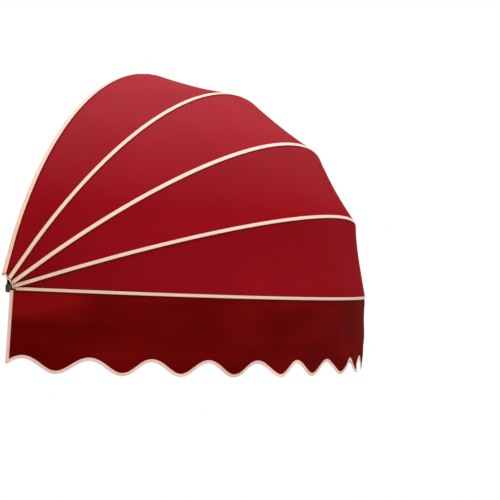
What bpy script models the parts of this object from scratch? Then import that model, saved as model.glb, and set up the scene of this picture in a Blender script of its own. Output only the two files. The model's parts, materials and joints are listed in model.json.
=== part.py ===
"""Folding basket awning for a window.

Five arched bows fan out from one hinge line and carry four cloth panels, with a
scalloped valance hanging from the front bow.  The bow against the wall is fixed.
The other four swing up towards it, so the awning folds flat against the wall.

Metres and degrees, +Z up, the wall is the plane y = 0 and the street is at -Y.
The origin is the middle of the back face of the top wall clip.
"""

import math

import bmesh
import bpy
from mathutils import Matrix, Vector

# Driving sizes of the bows
BOW_NAMES = ("wall_bow", "bow_2", "bow_3", "bow_4", "front_bow")
HALF_WIDTH = 0.995
REACH = 0.596
ARC_HALF_ANGLE = 71.2
NEST = 0.013
BOW_ANGLES = (90.0, 66.4, 43.7, 21.5, -0.3)
BOW_SEGMENTS = 24
TUBE_WIDTH = 0.014
TUBE_HEIGHT = 0.006
TUBE_WALL = 0.001
TUBE_START = 0.052

# Hinge line, brackets and what turns on them
AXIS_FROM_WALL = 0.016
HUB_SETBACK = 0.062
BOLT_RADIUS = 0.003
BOLT_HEAD_RADIUS = 0.0055
BOLT_HEAD_HEIGHT = 0.004
BOLT_HEAD_RIM = 0.0016
BOLT_HEAD_SHOULDER = (0.00385, 0.0032)
BOLT_HOLE_CLEARANCE = 0.00045
NUT_RADIUS = 0.0058
NUT_HEIGHT = 0.005
SPACER_RADIUS = 0.0062
TANG_THICKNESS = 0.0034
TANG_WIDTH = 0.008
TANG_INSERT = 0.036
TANG_LEAD = 0.004
TANG_NECK = 0.012
EYE_RADIUS = 0.0075
BRACKET_THICKNESS = 0.003
BRACKET_HEIGHT = 0.084
BRACKET_DROP = 0.011
EAR_RADIUS = 0.009
BEND_RELIEF = 0.005
SCREW_HOLE_RADIUS = 0.0025
SCREW_EDGE = 0.010
SCREW_SPREAD = 0.040
SCREW_RISE = 0.040

# Wall clips that the fixed bow hangs in
CLIP_THICKNESS = 0.002
CLIP_WIDTH = 0.024
CLIP_BASE = 0.032
CLIP_LIP = 0.006
CLIP_CLEARANCE = 0.0006
CLIP_HOLE_INSET = 0.007
SIDE_CLIP_SEGMENT = 5

# Cloth, trim and scallops
CLOTH = 0.0008
HUB_CUT = (0.030, 0.022, 0.0165, 0.0115, 0.0095)
VALANCE_CUT = 0.001
PANEL_SAG = 0.004
SHOULDER_SHARE = 0.95
SEAM_DROP = 0.0015
BRAID_WIDTHS = (0.010, 0.010, 0.010, 0.009, 0.008)
BRAID_HEIGHT = 0.0015
SCALLOPS = 14.5
SCALLOP_TIP = 0.205
SCALLOP_NOTCH = 0.1695
VALANCE_FLARE = 0.004
VALANCE_STEP = 0.0165
BINDING_WIDTH = 0.008
BINDING_THICKNESS = 0.002

# Clearance between pieces that touch, and how finely curves are stepped
SEAT_GAP = 0.0003
ROUND_STEPS = 12
FINE_STEPS = 960
WELD = 1e-6
SLIVER_AREA = 1e-9

ARC_LIMIT = math.radians(ARC_HALF_ANGLE)
EYE_PITCH = NEST
TUBE_FLAT = TUBE_WIDTH / 2 - TUBE_HEIGHT / 2
FIRST_EYE = HALF_WIDTH - HUB_SETBACK
LAST_EYE = FIRST_EYE - (len(BOW_ANGLES) - 1) * EYE_PITCH
EAR_GAP = TANG_THICKNESS / 2 + SEAT_GAP
CLIP_CENTRE_DROP = TUBE_HEIGHT / 2 + CLIP_CLEARANCE + CLIP_THICKNESS / 2 + CLIP_BASE / 2
HINGE = Vector((0.0, -AXIS_FROM_WALL, CLIP_CENTRE_DROP - REACH))
CLOTH_LIFT = TUBE_HEIGHT / 2 + SEAT_GAP + CLOTH / 2
BRAID_LIFT = CLOTH_LIFT + CLOTH / 2 + SEAT_GAP + BRAID_HEIGHT / 2

# Colour, roughness and metallic of each finish
PANEL_RED = ((0.42, 0.012, 0.022), 0.85, 0.0)
VALANCE_RED = ((0.33, 0.008, 0.015), 0.85, 0.0)
TRIM_CREAM = ((0.93, 0.80, 0.68), 0.7, 0.0)
TUBE_WHITE = ((0.80, 0.79, 0.76), 0.35, 0.0)
ZINC = ((0.55, 0.56, 0.57), 0.4, 1.0)


def clear_scene():
    for item in list(bpy.data.objects):
        bpy.data.objects.remove(item, do_unlink=True)


def new_collection(name):
    group = bpy.data.collections.new(name)
    bpy.context.scene.collection.children.link(group)
    return group


def material(name, colour, roughness, metallic):
    made = bpy.data.materials.new(name)
    made.use_nodes = True
    shader = made.node_tree.nodes["Principled BSDF"]
    shader.inputs["Base Color"].default_value = (*colour, 1.0)
    shader.inputs["Roughness"].default_value = roughness
    shader.inputs["Metallic"].default_value = metallic
    return made


def add_object(name, mesh, finish, parent=None):
    """A named sub-part; with a parent its mesh is in the parent's frame."""
    mesh.name = name
    mesh.materials.clear()
    mesh.materials.append(finish)
    made = bpy.data.objects.new(name, mesh)
    PARTS.objects.link(made)
    made.parent = parent
    return made


def add_hinge_frame(name, angle):
    """Empty on the hinge line; its -Y runs out along the plane of one bow."""
    frame = bpy.data.objects.new(name, None)
    frame.location = HINGE
    frame.rotation_euler = (-math.radians(angle), 0.0, 0.0)
    PARTS.objects.link(frame)
    return frame


def baked_mesh(holder):
    """The evaluated mesh of a curve object, welded, with the object removed."""
    bpy.context.view_layer.update()
    evaluated = holder.evaluated_get(bpy.context.evaluated_depsgraph_get())
    mesh = bpy.data.meshes.new_from_object(evaluated)
    shape = bmesh.new()
    shape.from_mesh(mesh)
    bmesh.ops.remove_doubles(shape, verts=shape.verts, dist=WELD)
    shape.to_mesh(mesh)
    shape.free()
    bpy.data.objects.remove(holder, do_unlink=True)
    return mesh


def poly_spline(curve, points, closed):
    spline = curve.splines.new("POLY")
    spline.points.add(len(points) - 1)
    for slot, point in zip(spline.points, points):
        slot.co = (*point, *([0.0] * (3 - len(point))), 1.0)
    spline.use_cyclic_u = closed


def ring(centre, radius, steps=ROUND_STEPS):
    turns = [2 * math.pi * step / steps for step in range(steps)]
    return [(centre[0] + radius * math.cos(t), centre[1] + radius * math.sin(t)) for t in turns]


def flat_mesh(outline, holes, thickness=0.0):
    """A filled flat outline with holes, extruded about its own plane."""
    curve = bpy.data.curves.new("outline", "CURVE")
    curve.dimensions = "2D"
    curve.fill_mode = "BOTH"
    curve.extrude = thickness / 2
    poly_spline(curve, outline, True)
    for hole in holes:
        poly_spline(curve, hole, True)
    holder = bpy.data.objects.new("outline", curve)
    PARTS.objects.link(holder)
    return baked_mesh(holder)


def add_solidify(piece, thickness, offset=0.0):
    shell = piece.modifiers.new("thickness", "SOLIDIFY")
    shell.thickness = thickness
    shell.offset = offset
    shell.use_even_offset = True


def join_slivers(shape):
    """Faces between points on one straight line have no area; each joins its neighbour."""
    slivers = [face for face in shape.faces if face.calc_area() < SLIVER_AREA]
    longest = [max(face.edges, key=lambda edge: edge.calc_length()) for face in slivers]
    bmesh.ops.dissolve_edges(shape, edges=longest, use_verts=False)


def folded_plate(outline, holes, folds):
    """A flat sheet outline in (u, v), folded along lines of constant u.

    Each fold is (u, degrees) and turns what lies beyond it, away from u = 0, about
    the fold line.  Folds run from the outermost inwards.
    """
    mesh = flat_mesh(outline, holes)
    shape = bmesh.new()
    shape.from_mesh(mesh)
    join_slivers(shape)
    bmesh.ops.dissolve_limit(shape, angle_limit=math.radians(1), verts=shape.verts, edges=shape.edges)
    for place, _ in folds:
        everything = shape.verts[:] + shape.edges[:] + shape.faces[:]
        line = (place, 0, 0)
        bmesh.ops.bisect_plane(shape, geom=everything, dist=WELD, plane_co=line, plane_no=(1, 0, 0))
    for place, degrees in folds:
        side = 1.0 if place >= 0 else -1.0
        beyond = [vert for vert in shape.verts if side * (vert.co.x - place) > WELD]
        turn = Matrix.Rotation(-side * math.radians(degrees), 3, "Y")
        bmesh.ops.rotate(shape, verts=beyond, cent=(place, 0, 0), matrix=turn)
    shape.to_mesh(mesh)
    shape.free()
    return mesh


def surface_mesh(rows):
    """An open surface through rows of points, made from a grid primitive."""
    across = len(rows)
    along = len(rows[0])
    shape = bmesh.new()
    bmesh.ops.create_grid(shape, x_segments=along - 1, y_segments=across - 1, size=1.0)
    shape.verts.ensure_lookup_table()
    for vert in shape.verts:
        column = round((vert.co.x + 1) / 2 * (along - 1))
        row = round((vert.co.y + 1) / 2 * (across - 1))
        vert.co = rows[row][column]
    mesh = bpy.data.meshes.new("surface")
    shape.to_mesh(mesh)
    shape.free()
    return mesh


def round_bar(profile):
    """A turned solid about Z from (radius, height) points that run down its side."""
    mesh = bpy.data.meshes.new("profile")
    points = [(radius, 0.0, height) for radius, height in profile]
    mesh.from_pydata(points, [(i, i + 1) for i in range(len(points) - 1)], [])
    return mesh


def add_screw(piece):
    turn = piece.modifiers.new("turn", "SCREW")
    turn.steps = ROUND_STEPS
    turn.render_steps = ROUND_STEPS
    turn.use_merge_vertices = True
    turn.merge_threshold = WELD


def bow_point(index, turn):
    """Centre line of a bow in its own plane: x across, r out from the hinge line."""
    half = HALF_WIDTH - index * NEST
    across = half * math.sin(turn) / math.sin(ARC_LIMIT)
    out = REACH * (math.cos(turn) - math.cos(ARC_LIMIT)) / (1 - math.cos(ARC_LIMIT))
    return Vector((across, out))


def resample(points, count):
    """Equal steps along a polyline."""
    runs = [0.0]
    for first, second in zip(points, points[1:]):
        runs.append(runs[-1] + (second - first).length)
    result = []
    at = 0
    for step in range(count + 1):
        target = runs[-1] * step / count
        while at < len(points) - 2 and runs[at + 1] < target:
            at += 1
        share = (target - runs[at]) / (runs[at + 1] - runs[at])
        result.append(points[at].lerp(points[at + 1], share))
    return result


def bow_line(index):
    """The tube's centre line from end to end, left to right, in equal segments."""
    start_cosine = TUBE_START * (1 - math.cos(ARC_LIMIT)) / REACH + math.cos(ARC_LIMIT)
    first = math.acos(start_cosine)
    turns = [first * (2 * step / FINE_STEPS - 1) for step in range(FINE_STEPS + 1)]
    points = [bow_point(index, turn) for turn in turns]
    return resample(points, BOW_SEGMENTS)


def run_on(outer, inner, radius):
    """Where the line from inner through outer comes down to a radius from the hinge line."""
    run = outer - inner
    return inner + run * (radius - inner.y) / run.y


def cloth_line(index, cut):
    """The tube's centre line, run on straight at both ends to a radius near the hinge line."""
    points = bow_line(index)
    first = run_on(points[0], points[1], cut)
    last = run_on(points[-1], points[-2], cut)
    return [first] + points + [last]


def normals(points):
    """Outward mitred normals at the points of a line that runs left to right."""
    sides = []
    for first, second in zip(points, points[1:]):
        run = (second - first).normalized()
        sides.append(Vector((-run.y, run.x)))
    result = [sides[0]]
    for before, after in zip(sides, sides[1:]):
        result.append((before + after) / (1 + before.dot(after)))
    result.append(sides[-1])
    return result


def lifted(points, lift):
    return [point + normal * lift for point, normal in zip(points, normals(points))]


def in_bow_frame(point, rise=0.0):
    return Vector((point.x, -point.y, rise))


def in_hinge_frame(index, point, rise=0.0):
    """A point of a bow's plane, seen from the hinge line with the bow at its angle."""
    angle = math.radians(BOW_ANGLES[index])
    out = Vector((0.0, -math.cos(angle), math.sin(angle)))
    up = Vector((0.0, math.sin(angle), math.cos(angle)))
    return Vector((point.x, 0.0, 0.0)) + out * point.y + up * rise


def tube_profile():
    """Flat oval, thin in the plane of the bow and wide across it."""
    half = TUBE_HEIGHT / 2
    corner = [(TUBE_FLAT, half), (TUBE_WIDTH / 2, half / 2)]
    right = corner + [(x, -y) for x, y in reversed(corner)]
    left = [(-x, y) for x, y in reversed(right)]
    return right + left


def add_bow_tube(index, frame, finish):
    profile = bpy.data.curves.new("section", "CURVE")
    profile.dimensions = "2D"
    poly_spline(profile, [(y, x) for x, y in tube_profile()], True)
    section = bpy.data.objects.new("section", profile)
    PARTS.objects.link(section)
    path = bpy.data.curves.new("path", "CURVE")
    path.dimensions = "3D"
    path.twist_mode = "Z_UP"
    path.bevel_mode = "OBJECT"
    path.bevel_object = section
    poly_spline(path, [in_bow_frame(point) for point in bow_line(index)], False)
    holder = bpy.data.objects.new("path", path)
    PARTS.objects.link(holder)
    mesh = baked_mesh(holder)
    bpy.data.objects.remove(section, do_unlink=True)
    shape = bmesh.new()
    shape.from_mesh(mesh)
    bmesh.ops.recalc_face_normals(shape, faces=shape.faces)
    shape.to_mesh(mesh)
    shape.free()
    mesh.shade_smooth()
    piece = add_object(BOW_NAMES[index], mesh, finish, frame)
    add_solidify(piece, TUBE_WALL, -1.0)


def tang_outline(last_fold):
    """Tongue to the left of u = 0, crank to the right, and a round eye at its end."""
    half = TANG_WIDTH / 2
    eye = last_fold + TANG_NECK
    meet = math.asin(half / EYE_RADIUS)
    arc = []
    for step in range(ROUND_STEPS + 1):
        turn = (math.pi - meet) * (1 - 2 * step / ROUND_STEPS)
        arc.append((eye + EYE_RADIUS * math.cos(turn), EYE_RADIUS * math.sin(turn)))
    corners = [(-TANG_INSERT, half), (-TANG_INSERT, -half)]
    return corners + list(reversed(arc)), [ring((eye, 0.0), BOLT_RADIUS + BOLT_HOLE_CLEARANCE)]


def add_tang(index, side, label, frame, finish):
    """Cranked flat tang: tongue in the tube, neck inwards, eye square to the bolt."""
    points = bow_line(index)
    end = points[0]
    along = (points[0] - points[1]).normalized()
    eye_x = -(FIRST_EYE - index * EYE_PITCH)
    neck = Vector((eye_x, TANG_NECK)) - end - along * TANG_LEAD
    crank = -math.degrees(along.angle_signed(neck))
    square = -math.degrees(neck.angle_signed(Vector((0.0, -1.0))))
    last_fold = TANG_LEAD + neck.length
    outline, holes = tang_outline(last_fold)
    mesh = folded_plate(outline, holes, [(last_fold, square), (TANG_LEAD, crank)])
    across = Vector((-along.y, along.x))
    sideways = (along.x, 0, across.x, end.x)
    inwards = (-along.y, 0, -across.y, -end.y)
    place = Matrix((sideways, inwards, (0, 1, 0, 0), (0, 0, 0, 1)))
    if side > 0:
        place = Matrix.Diagonal((-1, 1, 1, 1)) @ place
    mesh.transform(place)
    piece = add_object(f"{BOW_NAMES[index]}_tang_{label}", mesh, finish, frame)
    add_solidify(piece, TANG_THICKNESS)


def shoulder(radius, half_gap):
    """How far the cloth lies flat over a tube; near the hub the next bow limits it."""
    return min(TUBE_WIDTH / 2 + SEAT_GAP + CLOTH, SHOULDER_SHARE * radius * math.sin(half_gap))


def add_braid(index, frame, finish):
    line = lifted(bow_line(index), BRAID_LIFT)
    half = BRAID_WIDTHS[index] / 2
    rows = [[in_bow_frame(point, rise) for point in line] for rise in (-half, half)]
    piece = add_object(f"braid_{index + 1}", surface_mesh(rows), finish, frame)
    add_solidify(piece, BRAID_HEIGHT)


def panel_rows(index):
    """Five lines of points from one bow to the next: flat over each tube, taut between."""
    back = lifted(cloth_line(index, HUB_CUT[index]), CLOTH_LIFT)
    front = lifted(cloth_line(index + 1, HUB_CUT[index + 1]), CLOTH_LIFT)
    half_gap = math.radians(BOW_ANGLES[index] - BOW_ANGLES[index + 1]) / 2
    seam = SEAT_GAP / 2
    front_seam = SEAT_GAP - SEAM_DROP if index + 1 == len(BOW_ANGLES) - 1 else seam
    back_edge = -(BRAID_WIDTHS[0] / 2 + SEAT_GAP) if index == 0 else seam
    rows = [[in_hinge_frame(index, point, -back_edge) for point in back]]
    rows.append([in_hinge_frame(index, point, -shoulder(point.y, half_gap)) for point in back])
    front_shoulder = [in_hinge_frame(index + 1, point, shoulder(point.y, half_gap)) for point in front]
    middle = []
    for before, after, outer in zip(rows[1], front_shoulder, back):
        centre = (before + after) / 2
        inward = Vector((0.0, -centre.y, -centre.z)).normalized()
        middle.append(centre + inward * PANEL_SAG * outer.y / REACH)
    rows.append(middle)
    rows.append(front_shoulder)
    rows.append([in_hinge_frame(index + 1, point, front_seam) for point in front])
    return rows


def add_panel(index, frame, finish):
    piece = add_object(f"panel_{index + 1}", surface_mesh(panel_rows(index)), finish, frame)
    add_solidify(piece, CLOTH)


def valance_stations():
    """Points along the front bow's cloth line with the length run so far."""
    line = lifted(cloth_line(len(BOW_ANGLES) - 1, VALANCE_CUT), CLOTH_LIFT)
    stations = [(line[0], 0.0)]
    for first, second in zip(line, line[1:]):
        run = (second - first).length
        start = stations[-1][1]
        steps = max(1, round(run / VALANCE_STEP))
        for step in range(1, steps + 1):
            share = step / steps
            stations.append((first.lerp(second, share), start + run * share))
    return stations


def scallop_phase(share):
    """Angle of the wave at a share of the valance's length; the middle is a notch."""
    return 2 * math.pi * SCALLOPS * (share - 0.5)


def scallop_height(run, length):
    """Lower edge below the front bow: a wave that is cut half way down at both ends."""
    middle = (SCALLOP_TIP + SCALLOP_NOTCH) / 2
    swing = (SCALLOP_TIP - SCALLOP_NOTCH) / 2
    return swing * math.cos(scallop_phase(run / length)) - middle


def scallop_slope(run, length):
    swing = (SCALLOP_TIP - SCALLOP_NOTCH) / 2
    rate = 2 * math.pi * SCALLOPS / length
    return -swing * rate * math.sin(scallop_phase(run / length))


def hang(point, share, drop):
    """A point of the valance: plumb below the front bow, with soft flutes lower down."""
    top = in_hinge_frame(len(BOW_ANGLES) - 1, point)
    depth = min(1.0, max(0.0, -drop / SCALLOP_TIP))
    away = Vector((point.x, -point.y, 0.0))
    away = away.normalized() if away.length > 0 else Vector((0.0, -1.0, 0.0))
    flute = VALANCE_FLARE * depth * depth * (1 - math.cos(scallop_phase(share))) / 2
    return Vector((top.x, top.y, top.z + drop)) + away * flute


def inner_edge(run, length):
    """Upper line of the binding, which keeps its width square to the wave."""
    slope = scallop_slope(run, length)
    return scallop_height(run, length) + BINDING_WIDTH * math.sqrt(1 + slope * slope)


def inside_binding(stations, margin):
    """Stations kept clear of the end bindings, with the first and last set on the margin."""
    length = stations[-1][1]
    kept = [item for item in stations if margin < item[1] < length - margin]
    first, second = stations[0], stations[1]
    share = margin / second[1]
    start = (first[0].lerp(second[0], share), margin)
    last, before = stations[-1], stations[-2]
    share = margin / (length - before[1])
    finish = (last[0].lerp(before[0], share), length - margin)
    return [start] + kept + [finish]


def add_valance(frame, finish):
    stations = valance_stations()
    length = stations[-1][1]
    top = -SEAM_DROP
    rows = [[], [], []]
    for point, run in inside_binding(stations, BINDING_WIDTH + SEAT_GAP):
        low = inner_edge(run, length) + SEAT_GAP
        for row, drop in zip(rows, (low, low / 2, top)):
            row.append(hang(point, run / length, drop))
    piece = add_object("valance", surface_mesh(rows), finish, frame)
    add_solidify(piece, CLOTH)


def add_binding(frame, finish):
    """Folded tape round the free edge: down one end, along the scallops, up the other."""
    stations = valance_stations()
    length = stations[-1][1]
    inner = inside_binding(stations, BINDING_WIDTH)
    ends = (stations[0], stations[-1])
    top = -(BRAID_WIDTHS[-1] / 2 + SEAT_GAP)
    outer_rail = [hang(ends[0][0], 0.0, top)]
    inner_rail = [hang(inner[0][0], BINDING_WIDTH / length, top)]
    outer_rail.append(hang(ends[0][0], 0.0, scallop_height(0.0, length)))
    inner_rail.append(hang(inner[0][0], BINDING_WIDTH / length, inner_edge(BINDING_WIDTH, length)))
    for point, run in inner[1:-1]:
        outer_rail.append(hang(point, run / length, scallop_height(run, length)))
        inner_rail.append(hang(point, run / length, inner_edge(run, length)))
    far = length - BINDING_WIDTH
    outer_rail.append(hang(ends[1][0], 1.0, scallop_height(length, length)))
    inner_rail.append(hang(inner[-1][0], far / length, inner_edge(far, length)))
    outer_rail.append(hang(ends[1][0], 1.0, top))
    inner_rail.append(hang(inner[-1][0], far / length, top))
    piece = add_object("valance_binding", surface_mesh([outer_rail, inner_rail]), finish, frame)
    add_solidify(piece, BINDING_THICKNESS)


def bracket_outline():
    """Back plate above two ears that fold forward at its foot, with bolt and screw holes."""
    half = (FIRST_EYE - LAST_EYE) / 2 + EAR_GAP + BRACKET_THICKNESS / 2
    axis = half + AXIS_FROM_WALL - BRACKET_THICKNESS / 2
    edge = half - BEND_RELIEF
    rise = BRACKET_HEIGHT - BRACKET_DROP
    right = [(edge, -BRACKET_DROP), (edge, -EAR_RADIUS)]
    for step in range(ROUND_STEPS // 2 + 1):
        turn = math.pi * (step / (ROUND_STEPS // 2) - 0.5)
        right.append((axis + EAR_RADIUS * math.cos(turn), EAR_RADIUS * math.sin(turn)))
    right += [(edge, EAR_RADIUS), (edge, rise)]
    left = [(-u, v) for u, v in reversed(right)]
    holes = [ring((side * axis, 0.0), BOLT_RADIUS + BOLT_HOLE_CLEARANCE) for side in (-1, 1)]
    for u in (-SCREW_SPREAD / 2, SCREW_SPREAD / 2):
        for v in (rise - SCREW_EDGE - SCREW_RISE, rise - SCREW_EDGE):
            holes.append(ring((u, v), SCREW_HOLE_RADIUS))
    return right + left, holes, half


def add_bracket(side, label, finish):
    outline, holes, half = bracket_outline()
    mesh = folded_plate(outline, holes, [(half, 90.0), (-half, 90.0)])
    middle = side * (FIRST_EYE + LAST_EYE) / 2
    depth = -BRACKET_THICKNESS / 2
    stand = Matrix(((1, 0, 0, middle), (0, 0, -1, depth), (0, 1, 0, HINGE.z), (0, 0, 0, 1)))
    mesh.transform(stand)
    piece = add_object(f"hinge_bracket_{label}", mesh, finish)
    add_solidify(piece, BRACKET_THICKNESS)


def add_pivot_hardware(side, label, finish):
    """Bolt through both ears, its nut, and the spacers between the eyes."""
    outer_face = FIRST_EYE + EAR_GAP + BRACKET_THICKNESS
    inner_face = LAST_EYE - EAR_GAP - BRACKET_THICKNESS
    head_seat = outer_face + SEAT_GAP
    tip = inner_face - SEAT_GAP - NUT_HEIGHT - BOLT_RADIUS / 2
    shoulder_radius, shoulder_height = BOLT_HEAD_SHOULDER
    profile = [(0, head_seat + BOLT_HEAD_HEIGHT), (shoulder_radius, head_seat + shoulder_height)]
    profile += [(BOLT_HEAD_RADIUS, head_seat + BOLT_HEAD_RIM), (BOLT_HEAD_RADIUS, head_seat)]
    profile += [(BOLT_RADIUS, head_seat), (BOLT_RADIUS, tip), (0, tip)]
    lie = Matrix(((0, 0, side, 0), (0, 1, 0, 0), (-side, 0, 0, 0), (0, 0, 0, 1)))
    bolt = add_object(f"pivot_bolt_{label}", round_bar(profile), finish)
    bolt.matrix_world = Matrix.Translation(HINGE) @ lie
    add_screw(bolt)
    bore = ring((0.0, 0.0), BOLT_RADIUS + BOLT_HOLE_CLEARANCE)
    nut_mesh = flat_mesh(ring((0.0, 0.0), NUT_RADIUS, 6), [bore], NUT_HEIGHT)
    nut = add_object(f"pivot_nut_{label}", nut_mesh, finish)
    nut_place = Vector((side * (inner_face - SEAT_GAP - NUT_HEIGHT / 2), 0.0, 0.0))
    nut.matrix_world = Matrix.Translation(HINGE + nut_place) @ lie
    length = EYE_PITCH - TANG_THICKNESS - 2 * SEAT_GAP
    for index in range(len(BOW_ANGLES) - 1):
        mesh = flat_mesh(ring((0.0, 0.0), SPACER_RADIUS), [bore], length)
        spacer = add_object(f"spacer_{label}_{index + 1}", mesh, finish)
        middle = side * (FIRST_EYE - (index + 0.5) * EYE_PITCH)
        spacer.matrix_world = Matrix.Translation(HINGE + Vector((middle, 0.0, 0.0))) @ lie


def clip_outline():
    """Strip for a hook clip: screwed base, shelf under the tube, lip in front of it."""
    half = CLIP_WIDTH / 2
    shelf = AXIS_FROM_WALL + TUBE_WIDTH / 2 + CLIP_CLEARANCE
    end = CLIP_BASE / 2 + shelf + CLIP_LIP
    outline = [(-CLIP_BASE / 2, -half), (end, -half), (end, half), (-CLIP_BASE / 2, half)]
    reach = CLIP_BASE / 2 - CLIP_HOLE_INSET
    holes = [ring((u, 0.0), SCREW_HOLE_RADIUS) for u in (-reach, reach)]
    return outline, holes, [(CLIP_BASE / 2 + shelf, -90.0), (CLIP_BASE / 2, 90.0)]


def add_clip(name, point, outward, finish):
    """Hook clip on the wall, inside the arch, at a point of the fixed bow."""
    outline, holes, folds = clip_outline()
    mesh = folded_plate(outline, holes, folds)
    centre = HINGE + Vector((point.x, 0.0, point.y)) - outward * CLIP_CENTRE_DROP
    side = Vector((0.0, -1.0, 0.0)).cross(outward)
    depth = -CLIP_THICKNESS / 2
    columns = ((outward.x, side.x, 0, centre.x), (0, 0, -1, depth), (outward.z, side.z, 0, centre.z))
    mesh.transform(Matrix((*columns, (0, 0, 0, 1))))
    piece = add_object(name, mesh, finish)
    add_solidify(piece, CLIP_THICKNESS)


def add_clips(finish):
    points = bow_line(0)
    crown = Vector((0.0, REACH))
    add_clip("wall_clip_top", crown, Vector((0.0, 0.0, 1.0)), finish)
    for label, first in (("left", SIDE_CLIP_SEGMENT), ("right", BOW_SEGMENTS - SIDE_CLIP_SEGMENT - 1)):
        run = (points[first + 1] - points[first]).normalized()
        middle = (points[first] + points[first + 1]) / 2
        add_clip(f"wall_clip_{label}", middle, Vector((-run.y, 0.0, run.x)), finish)


def build():
    red = material("awning_cloth", *PANEL_RED)
    dark_red = material("valance_cloth", *VALANCE_RED)
    cream = material("braid", *TRIM_CREAM)
    white = material("coated_tube", *TUBE_WHITE)
    zinc = material("zinc_steel", *ZINC)
    hinge_line = add_hinge_frame("hinge_line", 0.0)
    for index, angle in enumerate(BOW_ANGLES):
        frame = add_hinge_frame(f"{BOW_NAMES[index]}_axis", angle)
        add_bow_tube(index, frame, white)
        add_tang(index, -1, "left", frame, zinc)
        add_tang(index, 1, "right", frame, zinc)
        add_braid(index, frame, cream)
    for index in range(len(BOW_ANGLES) - 1):
        add_panel(index, hinge_line, red)
    add_valance(hinge_line, dark_red)
    add_binding(hinge_line, cream)
    for side, label in ((-1, "left"), (1, "right")):
        add_bracket(side, label, zinc)
        add_pivot_hardware(side, label, zinc)
    add_clips(zinc)


clear_scene()
PARTS = new_collection("window_awning")
build()
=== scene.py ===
"""Looks of the folding basket awning: cloth, tapes, bows and hinge steel, studio light and camera.

Metres, +Z up, the wall is the plane y = 0 and the street is at -Y.
"""

import json
import math

import bmesh
import bpy
import numpy as np
from mathutils import Matrix, Vector


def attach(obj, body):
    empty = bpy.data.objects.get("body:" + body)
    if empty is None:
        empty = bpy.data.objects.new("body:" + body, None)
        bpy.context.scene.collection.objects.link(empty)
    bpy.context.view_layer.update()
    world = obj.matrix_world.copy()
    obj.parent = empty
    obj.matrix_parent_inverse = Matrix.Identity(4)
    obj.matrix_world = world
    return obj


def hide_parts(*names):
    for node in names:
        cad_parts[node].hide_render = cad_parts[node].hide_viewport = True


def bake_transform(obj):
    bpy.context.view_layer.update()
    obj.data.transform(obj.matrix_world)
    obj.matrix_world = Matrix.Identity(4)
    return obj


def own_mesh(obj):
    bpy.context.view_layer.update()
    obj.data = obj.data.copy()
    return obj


# Driving sizes, as in the construction of the awning
HALF_WIDTH = 0.995
REACH = 0.596
ARC_LIMIT = math.radians(71.2)
NEST = 0.013
BOW_ANGLES = (90.0, 66.4, 43.7, 21.5, -0.3)
BOW_SEGMENTS = 24
TUBE_WIDTH = 0.014
TUBE_HEIGHT = 0.006
TUBE_WALL = 0.001
WALL_INWARDS = 1.0
TUBE_START = 0.052
TANG_INSERT = 0.036
HINGE_Y = -0.016
HINGE_Z = -0.5754
CLOTH = 0.0008
SEAT_GAP = 0.0003
HUB_CUT = (0.030, 0.022, 0.0165, 0.0115, 0.0095)
VALANCE_CUT = 0.001
PANEL_SAG = 0.004
SHOULDER_SHARE = 0.95
SEAM_DROP = 0.0015
TAPE_WIDTHS = (0.010, 0.010, 0.010, 0.009, 0.008)
TAPE_HEIGHT = 0.0015
SCALLOPS = 14.5
SCALLOP_TIP = 0.205
SCALLOP_NOTCH = 0.1695
END_SLANT = 0.005
CORNER_RADIUS = 0.006
BINDING_WIDTH = 0.008
CLOTH_LIFT = TUBE_HEIGHT / 2 + SEAT_GAP + CLOTH / 2
TAPE_LIFT = CLOTH_LIFT + CLOTH / 2 + SEAT_GAP + TAPE_HEIGHT / 2
FRONT = len(BOW_ANGLES) - 1

# How finely the surfaces are stepped
FINE_STEPS = 4001
HUB_SHARE = 0.015
HUB_COLUMNS = 6
PANEL_COLUMNS = 220
PANEL_ROWS = 22
VALANCE_ROWS = 30
VALANCE_COLUMNS = 391
SECTION_STEPS = 24
END_STEPS = 24
CORNER_STEPS = 9
HUB_TAPE_STEP = 0.15

# Folded edge tape: its thickness, the slot that the cloth lies in, the hems' share of the
# thickness, the width at a hub, and how far inside the fold the cloth ends
EDGE_TAPE_THICKNESS = 0.0024
EDGE_TAPE_SLOT = 0.0011
HEM_SHARE = 0.8
HUB_TAPE_WIDTH = 0.0034
CLOTH_IN_TAPE = 0.0012

# Folded state: degrees from bow to bow, half width kept clear of a tang, most degrees of push,
# share of its width that a tape keeps near a hub, and the radii where cloth is free and is held
FOLDED_GAP = 4.2
TANG_CLEAR = 0.0054
PUSH_LIMIT = 8.0
CRUMPLED = 0.15
HUB_SOFT = 0.046
HUB_FIRM = 0.056

# Slow waves in taut cloth: each has a share of the height, a length and a slant.  The start
# moves on from panel to panel, and below one part in SOFT_FADE of the reach the waves fade.
SOFT_HEIGHT = 0.0009
SOFT_WAVES = ((1.0, 0.61, 2.1), (0.6, 0.33, -3.4), (0.35, 0.17, 5.0))
SOFT_START = 1.7
SOFT_FADE = 4

# Folds of the valance: height, length, slant with the drop, and start
VALANCE_FOLDS = ((0.0060, 0.47, 1.1, 0.9), (0.0040, 0.29, -1.6, 2.3), (0.0016, 0.105, 0.5, 1.0))
FLUTE_HEIGHT = 0.0040
FOLD_GROWTH = 1.25
END_HOLD = 0.10
END_SWAY = 0.35
PUCKER_HEIGHT = 0.0006
PUCKER_PITCH = 0.052
PUCKER_DROP = 0.019
PUCKER_REACH = 0.009
PUCKER_DRIFT = 7.0
PUCKER_DRIFT_RATE = 5.1
TUCK_DROP = 0.010
TUCK_SLOPE = 0.004
CREASE_HEIGHT = 0.0028
CREASE_RUN = 1.1
CREASE_DROP = 0.034
CREASE_SLOPE = 0.02
CREASE_DEPTH = 0.008
CREASE_SPREAD = 0.28

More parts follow.
